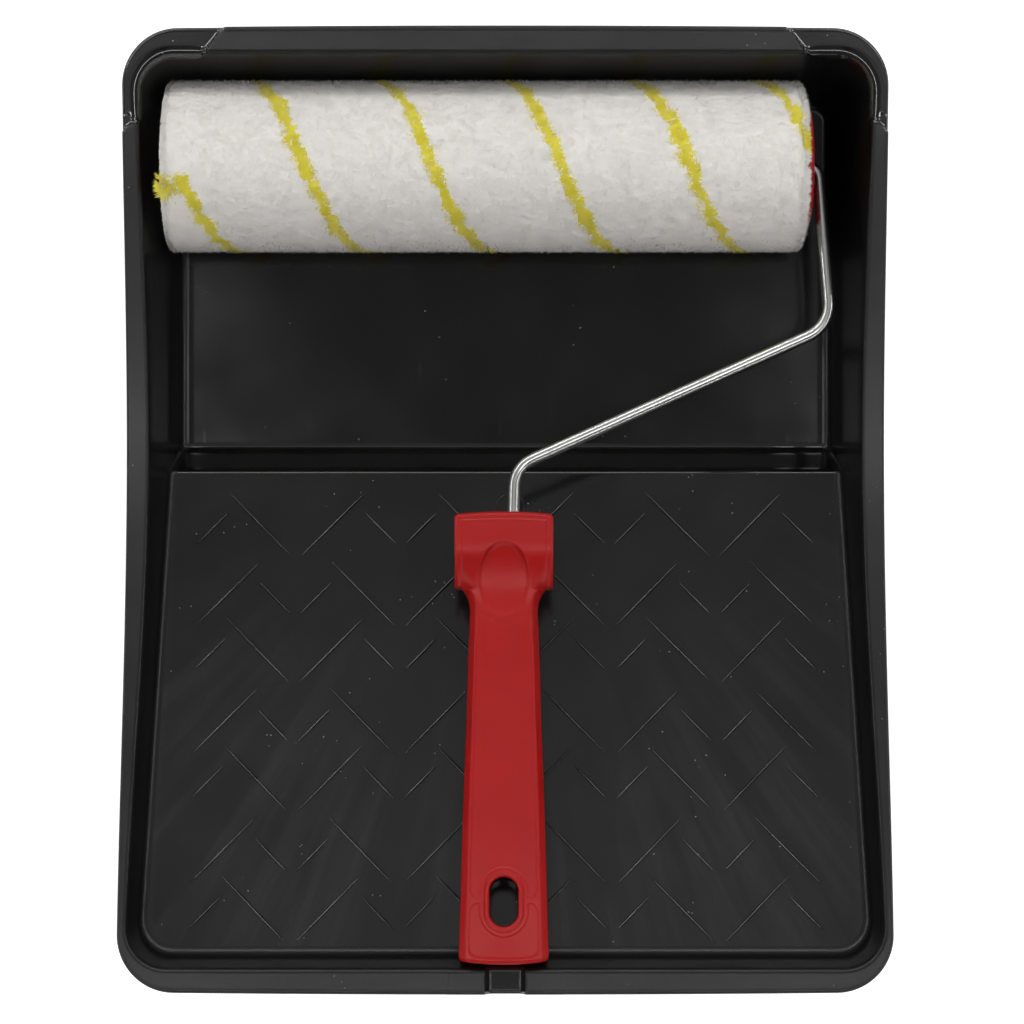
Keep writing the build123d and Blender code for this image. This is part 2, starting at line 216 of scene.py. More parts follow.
def tray_material(name, dark, light, rough, grain_depth, dust, streaks=False, shine=0.5):
    """Black polypropylene: moulded grain, scuffs, dust and, on the ramp, streaks from the gate."""
    mat, tree, shader, coords = material(name, Specular_IOR_Level=shine)
    cloud = grain(tree, coords, 38.0, 3.0)
    factor = remap(tree, cloud, 0.35, 0.7, 0.0, 1.0)
    if streaks:
        split = add(tree, "SeparateXYZ", Vector=coords)
        x = math_node(tree, "SUBTRACT", split.outputs[0], GATE[0] * MM)
        y = math_node(tree, "SUBTRACT", split.outputs[1], (GATE[1] + 42) * MM)
        turn = math_node(tree, "ARCTAN2", x, math_node(tree, "MULTIPLY", y, -1.0))
        far = math_node(tree, "SQRT", math_node(tree, "ADD", math_node(tree, "MULTIPLY", x, x),
                                               math_node(tree, "MULTIPLY", y, y)))
        polar = add(tree, "CombineXYZ", X=math_node(tree, "MULTIPLY", turn, 11.0),
                    Y=math_node(tree, "MULTIPLY", far, 4.0)).outputs[0]
        fan = remap(tree, grain(tree, polar, 1.0, 5.0, 0.68), 0.46, 0.72, 0.0, 1.0)
        low = remap(tree, far, 0.085, 0.17, 0.0, 1.0)
        streak = math_node(tree, "MULTIPLY", fan, low)
        factor = math_node(tree, "ADD", math_node(tree, "MULTIPLY", factor, 0.3), streak, True)
    colour = tint(tree, factor, dark, light)
    speck = specks(tree, coords, 260.0, 0.09)
    colour = tint_over(tree, math_node(tree, "MULTIPLY", speck, dust), colour, (0.3, 0.3, 0.29))
    tree.links.new(colour, shader.inputs["Base Color"])
    scuff = grain(tree, stretch(tree, coords, (500.0, 90.0, 200.0)), 1.0, 4.0)
    wear = math_node(tree, "MULTIPLY", remap(tree, scuff, 0.62, 0.8, 0.0, 1.0), 0.06)
    smear = remap(tree, grain(tree, coords, 22.0, 4.0), 0.3, 0.75, rough - 0.03, rough + 0.04)
    tree.links.new(math_node(tree, "ADD", smear, wear), shader.inputs["Roughness"])
    tree.links.new(bump(tree, [(grain(tree, coords, 2300.0, 2.0), grain_depth),
                               (grain(tree, coords, 30.0, 1.0), 0.05),
                               (speck, 0.08)]), shader.inputs["Normal"])
    return mat


def plastic_material(name, dark, light, rough, grain_depth):
    """Satin coloured plastic with a spark-eroded texture and slight mottling."""
    mat, tree, shader, coords = material(name, Specular_IOR_Level=0.36)
    factor = remap(tree, grain(tree, coords, 70.0, 4.0), 0.3, 0.7, 0.0, 1.0)
    colour = tint(tree, factor, dark, light)
    fine = grain(tree, coords, 1500.0, 2.0)
    tree.links.new(colour, shader.inputs["Base Color"])
    tree.links.new(remap(tree, fine, 0.3, 0.7, rough - 0.05, rough + 0.05), shader.inputs["Roughness"])
    tree.links.new(bump(tree, [(fine, grain_depth)]), shader.inputs["Normal"])
    return mat


def steel_material(name, light, rough, streak_size):
    """Zinc-plated drawn steel, streaked along its length."""
    mat, tree, shader, coords = material(name, Metallic=1.0)
    lines = grain(tree, stretch(tree, coords, streak_size), 1.0, 3.0, 0.6)
    cloud = remap(tree, grain(tree, coords, 180.0, 3.0), 0.35, 0.65, 0.0, 1.0)
    dark = tuple(c * 0.9 for c in light)
    tree.links.new(tint(tree, cloud, dark, light), shader.inputs["Base Color"])
    tree.links.new(remap(tree, lines, 0.3, 0.7, rough + 0.02, rough - 0.02), shader.inputs["Roughness"])
    tree.links.new(bump(tree, [(grain(tree, coords, 500.0), 0.001)]), shader.inputs["Normal"])
    return mat


def pile_material(name, dark, light):
    """Brushed polyester fibre, slightly uneven in tone."""
    mat, tree, shader, coords = material(name, Roughness=0.9, Specular_IOR_Level=0.15,
                                         Sheen_Weight=0.3, Sheen_Roughness=0.7)
    tone = remap(tree, grain(tree, coords, 160.0, 4.0), 0.32, 0.68, 0.0, 1.0)
    tree.links.new(tint(tree, tone, dark, light), shader.inputs["Base Color"])
    tree.links.new(bump(tree, [(grain(tree, coords, 2200.0, 2.0), 0.04)]), shader.inputs["Normal"])
    return mat


# ---- tray: shape -----------------------------------------------------------------------------
tray_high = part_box("tray")[1]
END_BOW = 0.8
HALF_WIDTH = tray_high.x / MM
HALF_LENGTH = tray_high.y / MM - END_BOW
OUTER_CORNER = 20.0
LIP_DEPTH = 3.4
LIP_ROUND = 1.1
EDGE_ROUND = 1.5                # the rim's inner edge
WALL = 1.8
DRAFT = tan(radians(9.5))
REF_Z = 46.0
CAVITY_X, CAVITY_Y = 128.2, 157.1   # half the cavity's width and length at REF_Z
CAVITY_SHIFT = 0.6
STEP_FOOT_Y, STEP_TOP_Y, STEP_TOP_Z = 21.7, 13.5, 18.4
RAMP_SLOPE = 0.24
BASE_REACH = 2.8                # the floor's fillet starts this far from the wall's foot
SPOUT_END = (Vector((99.8, 170.0)), Vector((106.6, 161.5)))
SPOUT_SIDE = (Vector((136.3, 133.9)), Vector((128.6, 139.2)))
SPOUT_DROP = 1.9
NOTCH_TOP, NOTCH_FLOOR, NOTCH_DEPTH = 7.6, 5.2, 2.6
PAD_HALF, PAD_HEIGHT, PAD_LEAN = 20.4, 0.3, 0.12    # the raised stretch of rim with the handle rest
SPOUT_ROLL = 4.2                # the pouring corners' inner edge is rounded this widely
GATE = (1.7, -0.2)

rim_profile = cubic_through(np.array([-181.8, -145.0, -62.0, 22.0, 124.0, 181.8]),
                            np.array([78.5, 74.0, 56.0, 45.4, 57.5, 66.0]))


def beyond(line, x, y):
    """Distance of a point from a line, positive on its left."""
    along = (line[1] - line[0]).normalized()
    return along.x * (y - line[0].y) - along.y * (x - line[0].x)


def in_spout(x, y, soft):
    """1 on a pouring corner, 0 elsewhere."""
    end = smoothstep(-soft, soft, beyond(SPOUT_END, abs(x), y))
    return end * smoothstep(-soft, soft, -beyond(SPOUT_SIDE, abs(x), y))


def drop(x, y):
    """How far the rim lies below its side profile: pouring corners, handle rest and its pad."""
    if y < 0:
        t = (NOTCH_TOP - abs(x)) / (NOTCH_TOP - NOTCH_FLOOR)
        leaning = abs(x) + PAD_LEAN * (y + HALF_LENGTH)
        pad = PAD_HEIGHT * (1 - smoothstep(PAD_HALF - 0.7, PAD_HALF + 0.7, leaning))
        return NOTCH_DEPTH * smoothstep(-0.1, 1.1, t) - pad if y < -100 else 0.0
    return SPOUT_DROP * in_spout(x, y, 0.45)


def rim_z(x, y):
    return rim_profile(y) - drop(x, y)


def blend(a, b, reach, sign):
    """The higher (sign 1) or lower (sign -1) of two heights, rounded where they meet."""
    gap = (a - b) * sign
    if abs(gap) >= reach:
        return a if gap > 0 else b
    return (a + b) / 2 + sign * (gap * gap / (4 * reach) + reach / 4)


def floor_z(y):
    """Height of the well's floor, the step and the ramp."""
    ramp = STEP_TOP_Z + RAMP_SLOPE * (STEP_TOP_Y - y)
    step = WALL + (STEP_FOOT_Y - y) * (STEP_TOP_Z - WALL) / (STEP_FOOT_Y - STEP_TOP_Y)
    return blend(WALL, blend(step, ramp, 1.5, -1), 4.2, 1)


def on_outline(station, half_x, half_y, shift, radius):
    """A station's point and outward direction on a rounded rectangle."""
    kind, sx, sy, t = station
    if kind == "corner":
        turn = Vector((sx * sin(t * pi / 2), sy * cos(t * pi / 2)))
        middle = Vector((sx * (half_x - radius), shift + sy * (half_y - radius)))
        return middle + turn * radius, turn
    if kind == "end":
        return Vector((t * (half_x - radius), shift + sy * half_y)), Vector((0, sy))
    return Vector((sx * half_x, shift + t * (half_y - radius))), Vector((sx, 0))


def rim_point(station):
    """A station's point on the rim's outer edge, and its outward direction."""
    point, out = on_outline(station, HALF_WIDTH, HALF_LENGTH, 0.0, OUTER_CORNER)
    point.y += END_BOW * out.y * max(0.0, 1 - (point.x / HALF_WIDTH) ** 2)
    return point, out


def wall_point(station, z):
    """A station's point on the cavity's wall at a height, and its outward direction."""
    lean = (z - REF_Z) * DRAFT
    return on_outline(station, CAVITY_X + lean, CAVITY_Y + lean, CAVITY_SHIFT, 6.0 + (z + 6.0) * 11 / 106)


def on_wall(station, z):
    x, y = wall_point(station, z)[0]
    return Vector((x, y, z))


def settle(station, height, z):
    """The height at which the wall meets a surface."""
    for _ in range(4):
        z = height(wall_point(station, z)[0])
    return z


LIP_RINGS, FLANGE_RINGS, EDGE_RINGS, WALL_RINGS, BASE_RINGS = 8, 14, 7, 8, 7


def section(station):
    """The tray's section at a station, from the lip's lower edge over the rim to the floor."""
    outer, out = rim_point(station)
    top, skirt = rim_z(*outer), rim_profile(outer.y) - LIP_DEPTH
    drops = [skirt, skirt + 0.35, skirt + 0.7]
    drops = [min(z, top - LIP_ROUND - 0.05 * (3 - i)) for i, z in enumerate(drops)]
    points = [Vector((outer.x - out.x * 0.25, outer.y - out.y * 0.25, drops[0]))]
    points += [Vector((outer.x, outer.y, z)) for z in drops[1:]]
    for i in range(5):
        turn = i * pi / 8
        inset = LIP_ROUND * (1 - cos(turn))
        x, y = outer - out * inset
        points.append(Vector((x, y, top - LIP_ROUND * (1 - sin(turn)))))
    z = settle(station, lambda p: rim_z(*p), top)
    edge, out_in = wall_point(station, z)
    roll = lerp(EDGE_ROUND, SPOUT_ROLL, in_spout(edge.x, edge.y, 2.5) if edge.y > 0 else 0.0)
    near = edge + out_in * roll
    start = outer - out * LIP_ROUND
    for i in range(1, FLANGE_RINGS):
        x, y = lerp(start, near, i / FLANGE_RINGS)
        points.append(Vector((x, y, rim_z(x, y))))
    corner = Vector((edge.x, edge.y, z))
    points += arc(Vector((near.x, near.y, rim_z(*near))), corner, on_wall(station, z - roll), EDGE_RINGS)
    foot = settle(station, lambda p: floor_z(p.y), 10.0)
    low, inward = wall_point(station, foot)
    inside = low - inward * BASE_REACH
    high = z - roll
    points += [on_wall(station, lerp(high, foot + BASE_REACH, i / WALL_RINGS))
               for i in range(1, WALL_RINGS)]
    points += arc(on_wall(station, foot + BASE_REACH), Vector((low.x, low.y, foot)),
                  Vector((inside.x, inside.y, floor_z(inside.y))), BASE_RINGS)
    return points


def steps(low, high, size):
    """Even values from low up to but not including high, about size apart."""
    count = max(1, ceil((high - low) / size - 1e-9))
    return [lerp(low, high, i / count) for i in range(count)]


def make_tray(rim_mat, gloss_mat, ramp_mat, wall_mat, spout_mat):
    """The moulding as one skin, thickened downwards.

    Stations lie closer at the pouring corners, the handle rest and its pad, and the step.
    """
    across = (steps(-1, -0.93, 0.02) + steps(-0.93, -0.83, 0.004) + steps(-0.83, -0.21, 0.05)
              + steps(-0.21, -0.15, 0.005) + steps(-0.15, -0.075, 0.02) + steps(-0.075, -0.036, 0.0022)
              + steps(-0.036, 0.0, 0.018))
    across += [0.0] + [-t for t in across][::-1]
    along = (steps(-1, 0.03, 0.045) + steps(0.03, 0.2, 0.005) + steps(0.2, 0.87, 0.04)
             + steps(0.87, 0.985, 0.004) + [0.985, 1.0])[::-1]
    bend = [i / 20 for i in range(21)]
    right = ([("corner", 1, 1, t) for t in bend] + [("side", 1, 0, t) for t in along[1:-1]]
             + [("corner", 1, -1, 1 - t) for t in bend])
    left = [(kind, -sx, sy, t) for kind, sx, sy, t in right][::-1]
    back = [("end", 0, 1, t) for t in across[1:-1]]
    front = [("end", 0, -1, -t) for t in across[1:-1]]
    loop = back + right + front + left
    count, rows, columns = len(loop), len(right), len(across)
    sections = [section(station) for station in loop]
    depth = len(sections[0])
    points = [sections[i][r] for r in range(depth) for i in range(count)]
    faces = [f[::-1] for f in ring_faces(count, depth)]
    rim_last = LIP_RINGS + FLANGE_RINGS - 2
    places = []
    for r in range(depth - 1):
        for i in range(count):
            spot = sections[i][r]
            pouring = spot.y > 0 and in_spout(spot.x, spot.y, 0.5) > 0.5
            sunk = drop(spot.x, spot.y) > 0.15 and r > LIP_RINGS - 4
            glossy = r <= rim_last + EDGE_RINGS and (sunk or pouring)
            places.append(4 if glossy else 0 if r <= rim_last else 3)
    floor = (depth - 1) * count
    first_right, first_front = len(back), len(back) + rows
    first_left = first_front + len(front)
    grid = []
    for row in range(rows):
        a, b = floor + first_left + rows - 1 - row, floor + first_right + row
        if row == 0:
            middle = [floor + i for i in range(len(back))]
        elif row == rows - 1:
            middle = [floor + first_front + i for i in range(len(front))][::-1]
        else:
            middle = list(range(len(points), len(points) + columns - 2))
            reach = points[b].x
            points += [Vector((t * reach, points[b].y, points[b].z)) for t in across[1:-1]]
        grid.append([a] + middle + [b])
    for row in range(rows - 1):
        for j in range(columns - 1):
            faces.append((grid[row][j], grid[row + 1][j], grid[row + 1][j + 1], grid[row][j + 1]))
            places.append(2 if points[grid[row][j]].y < STEP_TOP_Y - 1 else 1)
    tray = new_object("tray_shell", points, faces,
                      [rim_mat, gloss_mat, ramp_mat, wall_mat, spout_mat], places)
    thick = tray.modifiers.new("wall", "SOLIDIFY")
    thick.thickness = WALL * MM * 0.94
    thick.offset = -1.0
    apply_modifiers(tray)
    return tray


# ---- tray: ribs, gate and legs ---------------------------------------------------------------
RIB_COLUMN, RIB_ROW, RIB_STAGGER, FIRST_ROW_Y = 38.2, 45.6, 25.4, 5.7
LONG_RIB, SHORT_RIB, SHORT_DROP = (25.2, 1.6), (13.2, 1.5), 7.5
RIB_WIDTH, RIB_HEIGHT, RIB_ROOT = 1.15, 1.0, 0.3
LEG_X, LEG_Y, LEG_WIDTH, LEG_LENGTH, LEG_WALL = 98.0, -136.0, 34.0, 20.0, 2.2


def rib_points(outer, inner, lengths=15, sides=6):
    """Rings of a slim ridge from its outer, upper end to its inner, lower end."""
    rings = []
    run = Vector((inner[0] - outer[0], inner[1] - outer[1]))
    cross = Vector((-run.y, run.x)).normalized()
    for i in range(lengths):
        u = 2 * i / (lengths - 1) - 1
        taper = max(0.02, (1 - u * u) ** 0.4)
        middle = Vector(outer) + run * (i / (lengths - 1))
        for j in range(sides + 1):
            turn = pi * j / sides
            off = cross * (RIB_WIDTH / 2 * taper * cos(turn))
            x, y = middle + off
            z = floor_z(y) - RIB_ROOT + (RIB_HEIGHT * taper ** 0.6 + RIB_ROOT) * sin(turn)
            rings.append((x, y, z))
    return rings


def make_ribs(mat, painted_highlight_mat):
    """Rows of V ribs, long and short by turns, across the ramp, with a painted highlight: a paler crest
    facet.
    """
    points, faces, places, sides, lengths = [], [], [], 6, 15
    for row in range(7):
        y_top = FIRST_ROW_Y - (row // 2) * RIB_ROW - (row % 2) * RIB_STAGGER
        for column in range(-3, 4):
            is_long = (column + row) % 2 == 0
            outer, inner = LONG_RIB if is_long else SHORT_RIB
            top = y_top if is_long else y_top - SHORT_DROP
            for side in (-1, 1):
                if abs(column) == 3 and side * column > 0:
                    continue
                x = column * RIB_COLUMN
                start = len(points)
                points += rib_points((x + side * outer, top), (x + side * inner, top - outer + inner),
                                     lengths, sides)
                quads = ring_faces(sides + 1, lengths)
                faces += [tuple(start + k for k in (q if side < 0 else q[::-1])) for q in quads]
                # one crest facet of each rib takes the paler material, a painted highlight standing in
                # for caught light
                crest = sides // 2
                places += [1 if min(q) % (sides + 1) == crest else 0 for q in quads]
                for end in (0, (lengths - 1) * (sides + 1)):
                    cap = tuple(start + end + k for k in range(sides + 1))
                    faces.append(cap if (end == 0) == (side > 0) else cap[::-1])
                    places.append(0)
    return new_object("tray_ribs", points, faces, [mat, painted_highlight_mat], places)


def make_gate(mat):
    """The injection gate's shallow ring and the small pip inside it."""
    points, count, radius = [], 48, 5.15
    profile = [(-0.42, -0.3), (-0.36, 0.1), (-0.2, 0.24), (0.0, 0.28), (0.2, 0.24), (0.36, 0.1),
               (0.42, -0.3)]
    for off, lift in profile:
        for i in range(count):
            turn = 2 * pi * i / count
            x = GATE[0] + (radius + off) * cos(turn)
            y = GATE[1] + (radius + off) * sin(turn)
            points.append((x, y, floor_z(y) + lift))
    faces = ring_faces(count, len(profile))
    start = len(points)
    rings = [(1.5, -0.2), (1.45, 0.3), (1.2, 0.5), (0.7, 0.52), (0.3, 0.4), (0.05, 0.3)]
    for size, lift in rings:
        for i in range(24):
            turn = 2 * pi * i / 24
            x, y = GATE[0] + size * cos(turn), GATE[1] + size * sin(turn)
            points.append((x, y, floor_z(y) + lift))
    faces += [tuple(start + k for k in q) for q in ring_faces(24, len(rings))]
    faces.append(tuple(start + (len(rings) - 1) * 24 + k for k in range(24)))
    return new_object("tray_gate", points, faces, [mat])


def make_legs(mat):
    """Two three-sided legs under the shallow end, open towards the well."""
    points, faces = [], []
    for side in (-1, 1):
        half, y0, y1 = LEG_WIDTH / 2, LEG_Y - LEG_LENGTH / 2, LEG_Y + LEG_LENGTH / 2
        outline = [(-half, y1), (-half, y0 + 2), (-half + 0.6, y0 + 0.6), (-half + 2, y0),
                   (half - 2, y0), (half - 0.6, y0 + 0.6), (half, y0 + 2), (half, y1),
                   (half - LEG_WALL, y1), (half - LEG_WALL, y0 + LEG_WALL),
                   (-half + LEG_WALL, y0 + LEG_WALL), (-half + LEG_WALL, y1)]
        start, count = len(points), len(outline)
        for level in range(9):
            for x, y in outline:
                top = floor_z(y) - WALL * 0.8
                inset = 0.25 if level == 0 else 0.0
                points.append((side * LEG_X + x * (1 - inset / half),
                               y + inset * (0.5 if y < LEG_Y else -1),
                               top * level / 8 if level > 1 else 0.25 * level))
        faces += [tuple(start + k for k in q) for q in ring_faces(count, 9)]
        for base in (start, start + 8 * count):
            strips = [(0, 1, 10, 11), (1, 2, 3, 10), (3, 4, 9, 10), (4, 5, 6, 9), (6, 7, 8, 9)]
            for strip in strips:
                faces.append(tuple(base + k for k in (strip if base > start else strip[::-1])))
    legs = new_object("tray_legs", points, faces, [mat])
    legs.data.shade_flat()
    return legs


# ---- roller: the frame's own coordinates -----------------------------------------------------
sleeve_low, sleeve_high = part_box("core_tube")
AXLE_Y = (sleeve_low.y + sleeve_high.y) / 2 / MM
AXLE_Z = (sleeve_low.z + sleeve_high.z) / 2 / MM
CORE_LEFT, CORE_RIGHT = sleeve_low.x / MM, sleeve_high.x / MM
TILT = radians(7.5)
HANDLE_LENGTH = 156.8
lay = Matrix.Translation((0, AXLE_Y, AXLE_Z)) @ Matrix.Rotation(-TILT, 4, "X")
HANDLE_TOP = (-0.5, -3.3)
lay_handle = lay @ Matrix.Translation((HANDLE_TOP[0], (HANDLE_TOP[1] - AXLE_Y) / cos(TILT), 0))

grip_half = cubic_through(np.array([-159.0, -137.0, -100.0, -70.0, -48.0, -35.5]),
                          np.array([15.8, 15.15, 14.1, 13.1, 12.5, 12.0]))
panel_half = cubic_through(np.array([-159.0, -137.0, -100.0, -60.0, -35.5]),
                           np.array([12.9, 12.4, 11.5, 10.4, 9.7]))
middle_z = cubic_through(np.array([-162.0, -120.0, -80.0, -50.0, -37.0, -29.0,
                                   -22.0, -18.0, -14.5, -12.0, -9.0, 2.0]),
                         np.array([9.0, 9.0, 7.5, 6.0, 5.0, 4.75, 5.7, 7.05, 8.45, 8.95, 9.0, 9.0]))
side_fall = cubic_through(np.array([-162.0, -120.0, -80.0, -50.0, -36.0]),
                          np.array([1.5, 2.3, 3.2, 3.7, 3.9]))
HALF_THICK = 9.0
COLLAR_HALF, COLLAR_LENGTH = 17.55, 25.7
SHOULDER_RUN, GRIP_TOP = 8.7, -35.5
END_INSET, BUTT_RUN, END_SWELL = 1.6, 2.0, 0.9  # how the handle's two ends are rounded and bowed
EAR_DROP = 2.8                  # the collar's lower corners roll down this far
BORDER = 2.5                    # width of the collar's low border
DISH_TOP, DISH_END, DISH_HALF = -9.5, -36.9, 9.0
DISH_LEAN = 0.55                # the dish's slope at its upper end
DISH_FLAT, DISH_RISE = 18.5, 24.0   # runs to its lowest point, and to where it turns straight
DISH_BOWL, DISH_EDGE = 0.35, 0.85   # rise of its floor at the sides, and where its edge begins
SINK = 0.28                     # the panels and the collar's middle differ from their borders by this
SINK_RUN = 0.36                 # half the width of the slope between them
SLOT_AT, SLOT_HALF, SLOT_LONG = -137.0, 5.45, 18.1
RING_WIDTH = 3.0
BAR_AT, BAR_HALF = -136.6, 1.1
PANEL_END = -154.6
BUTT_LEAN = 0.15                # the butt leans out towards its upper edge, as the tray's wall does


def handle_half(y):
    """Half the handle's width: collar, concave shoulder, then the grip."""
    if y > -COLLAR_LENGTH:
        return COLLAR_HALF + 0.1 * y / COLLAR_LENGTH
    t = (-COLLAR_LENGTH - y) / SHOULDER_RUN
    if t < 1:
        return 12.0 + 3.1 * (1 - t) ** 2.2
    return grip_half(y)


def in_panel(x, y):
    """1 on the two sunken panels of the grip, 0 on the border, ring and bars round them."""
    half = panel_half(min(y, GRIP_TOP)) - 0.5
    top = smoothstep(-SINK_RUN, SINK_RUN, -35.3 - 3.4 * (1 - (x / 9.0) ** 2) - y)
    corner = max(0.0, abs(x) - half + 3.0), max(0.0, PANEL_END + 3.0 - y)
    inside = smoothstep(-SINK_RUN, SINK_RUN, 3.0 - hypot(*corner))
    flare = 2.2 * smoothstep(half - 2.6, half + 0.4, abs(x)) ** 2
    bars = smoothstep(-SINK_RUN, SINK_RUN, abs(y - BAR_AT) - BAR_HALF - flare)
    reach = SLOT_LONG / 2 - SLOT_HALF
    gap = hypot(x, max(0.0, abs(y - SLOT_AT) - reach)) - SLOT_HALF - RING_WIDTH
    return top * inside * bars * smoothstep(-SINK_RUN, SINK_RUN, gap)


def handle_face(x, y):
    """The upper face's height: sweep, crown, thumb dish, sunken panels and the collar's border."""
    z = middle_z(y)
    grip = smoothstep(-20.0, -36.0, y)
    z -= lerp(0.12 * (x / 15) ** 2, 0.75 * (x / 11) ** 2, grip)
    if y > -COLLAR_LENGTH - 1.0:
        ear = max(0.0, -17.0 - y) / (COLLAR_LENGTH - 17.0)
        z -= EAR_DROP * smoothstep(9.5, 15.0, abs(x)) * ear ** 2
        rim = min(COLLAR_HALF - abs(x), -y)
        z += SINK * smoothstep(BORDER - SINK_RUN, BORDER + SINK_RUN, rim)
    else:
        z += SINK
    middle, half = (DISH_TOP + DISH_END) / 2, (DISH_TOP - DISH_END) / 2
    radius = hypot(x / DISH_HALF, (y - middle) / half)
    if radius < 1:
        run = min(DISH_TOP - y, DISH_RISE)
        floor = HALF_THICK + SINK - DISH_LEAN * (run - run * run / (2 * DISH_FLAT))
        floor += DISH_BOWL * (x / DISH_HALF) ** 2
        floor += DISH_LEAN * (DISH_RISE / DISH_FLAT - 1) * max(0.0, DISH_TOP - DISH_RISE - y)
        z = lerp(z, floor, 1 - (max(0.0, radius - DISH_EDGE) / (1 - DISH_EDGE)) ** 2)
    if y < -34:
        z -= SINK * in_panel(x, y)
        reach = SLOT_LONG / 2 - SLOT_HALF
        gap = hypot(x, max(0.0, abs(y - SLOT_AT) - reach)) - SLOT_HALF
        z += 0.22 * (1 - smoothstep(1.2, 2.0, gap)) - 0.7 * (1 - smoothstep(-0.2, 0.7, gap))
    return z


# a section's points, from 0 to 1: across the upper face, then out and down its rounded side
ACROSS = [i / 36 * 0.9 for i in range(36)] + [0.90, 0.918, 0.934, 0.95, 0.964, 0.978, 0.99, 1.0]
SIDE = [(0.05, 0.02), (0.12, 0.08), (0.25, 0.2), (0.4, 0.36), (0.55, 0.52), (0.7, 0.69), (0.82, 0.81),
        (0.92, 0.92), (0.98, 0.985)]


def handle_section(y, inset):
    """One closed ring round the handle at y, starting at the middle of the upper face."""
    half = handle_half(y)
    grip = smoothstep(-COLLAR_LENGTH + 0.2, -COLLAR_LENGTH - 2.5, y)
    neck = smoothstep(-47.0, -37.0, y)
    shoulder = lerp(min(panel_half(min(y, GRIP_TOP)) + 0.4, half - 1.6), half - 3.4, neck)
    panel = lerp(half - 1.0, shoulder, grip)
    fall = lerp(0.6, side_fall(min(y, -36.0)), grip)
    right = [(panel * t, handle_face(panel * t, y)) for t in ACROSS]
    side_z = right[-1][1]
    right += [(lerp(panel, half, t), side_z - fall * lerp(deep, t ** 2.2, grip * neck))
              for t, deep in SIDE]
    edge_z = side_z - fall
    low = min(1.5, edge_z - 1.2)
    right += [(half + 0.02, edge_z - 0.35), (half + 0.1, edge_z - 0.8), (half + 0.15, low),
              (half + 0.15, -1.5), (half, -6.0), (half - 0.3, -7.4), (half - 0.9, -8.4)]
    right += [(x, -HALF_THICK) for x in (half - 2.0, half * 0.6, half * 0.3, 0.0)]
    ring = right + [(-x, z) for x, z in right[-2:0:-1]]
    return [(x * (half - inset) / half, z * (HALF_THICK - inset) / HALF_THICK) for x, z in ring]


def stadium(count, half, length, y):
    """Points round an upright slot centred on y."""
    points, reach = [], length / 2 - half
    for i in range(count):
        turn = 2 * pi * (i + 0.5) / count
        points.append((half * cos(turn), y + half * sin(turn) + (reach if sin(turn) > 0 else -reach)))
    return points


def cap_ring(faces, start, count, flip):
    cap = tuple(start + k for k in range(count))
    faces.append(cap[::-1] if flip else cap)


def make_handle(mat):
    """The grip with its collar, thumb dish and hanging slot."""
    stations = [(-END_INSET * (1 - cos(t)), END_INSET * (1 - sin(t))) for t in np.linspace(0, pi / 2, 7)]
    shoulder, end = -COLLAR_LENGTH, -HANDLE_LENGTH
    rows = (steps(1.9, -shoulder - 0.2, 0.3) + steps(-shoulder - 0.2, 0.2 - shoulder, 0.1)
            + steps(0.2 - shoulder, 33.0, 0.3) + steps(33.0, 41.0, 0.18) + steps(41.0, 121.0, 0.8)
            + steps(121.0, -end - 2.2, 0.3))
    stations += [(-row, 0.0) for row in rows]
    stations += [(end + BUTT_RUN * (1 - cos(t)), END_INSET * (1 - sin(t)))
                 for t in np.linspace(0, pi / 2, 8)[::-1]]
    points = []
    for y, inset in stations:
        ring = handle_section(y, inset)
        bow = END_SWELL * smoothstep(-6, 0, y) - END_SWELL * smoothstep(end + 8, end, y)
        butt = smoothstep(end + 10, end + 2, y)
        for x, z in ring:
            swell = bow * (1 - (x / handle_half(y)) ** 2)
            points.append((x, y + swell - BUTT_LEAN * z * butt, z))
    count = len(ring)
    faces = ring_faces(count, len(stations))
    cap_ring(faces, 0, count, True)
    cap_ring(faces, (len(stations) - 1) * count, count, False)
    points = [lay_handle @ Vector(p) for p in points]
    handle = new_object("handle_grip", points, faces, [mat])
    cutter_points, outline = [], stadium(48, SLOT_HALF, SLOT_LONG, SLOT_AT)
    for z in (-14.0, 14.0):
        cutter_points += [lay_handle @ Vector((x, y, z)) for x, y in outline]
    cut_faces = ring_faces(48, 2)
    cap_ring(cut_faces, 0, 48, True)
    cap_ring(cut_faces, 48, 48, False)
    cutter = new_object("slot_cutter", cutter_points, cut_faces, [mat])
    for obj in (handle, cutter):
        fix_normals(obj)
    hole = handle.modifiers.new("slot", "BOOLEAN")
    hole.object, hole.operation, hole.solver = cutter, "DIFFERENCE", "EXACT"
    apply_modifiers(handle)
    bpy.data.objects.remove(cutter)
    handle.data.set_sharp_from_angle(angle=radians(50))
    return handle


def fix_normals(obj):
    """Make a closed mesh's faces look outwards."""
    work = bmesh.new()
    work.from_mesh(obj.data)
    bmesh.ops.recalc_face_normals(work, faces=work.faces)
    work.to_mesh(obj.data)
    work.free()


def make_slot_lining(mat):
    """The rounded wall of the hanging slot, standing a little proud of the upper face."""
    points, count = [], 96
    profile = [(1.3, -0.1), (0.95, 0.1), (0.6, 0.2), (0.25, 0.16), (-0.02, -0.05),
               (-0.2, -0.5), (-0.25, -1.4), (-0.25, -9.0)]
    for off, lift in profile:
        for x, y in stadium(count, SLOT_HALF + off, SLOT_LONG + 2 * off, SLOT_AT):
            points.append((x, y, middle_z(y) + 0.1 + lift))
    faces = ring_faces(count, len(profile))
    ring = new_object("handle_slot_lining", [lay_handle @ Vector(p) for p in points], faces, [mat])
    thick = ring.modifiers.new("wall", "SOLIDIFY")
    thick.thickness = 0.4 * MM
    thick.offset = 0.0
    apply_modifiers(ring)
    fix_normals(ring)
    return ring


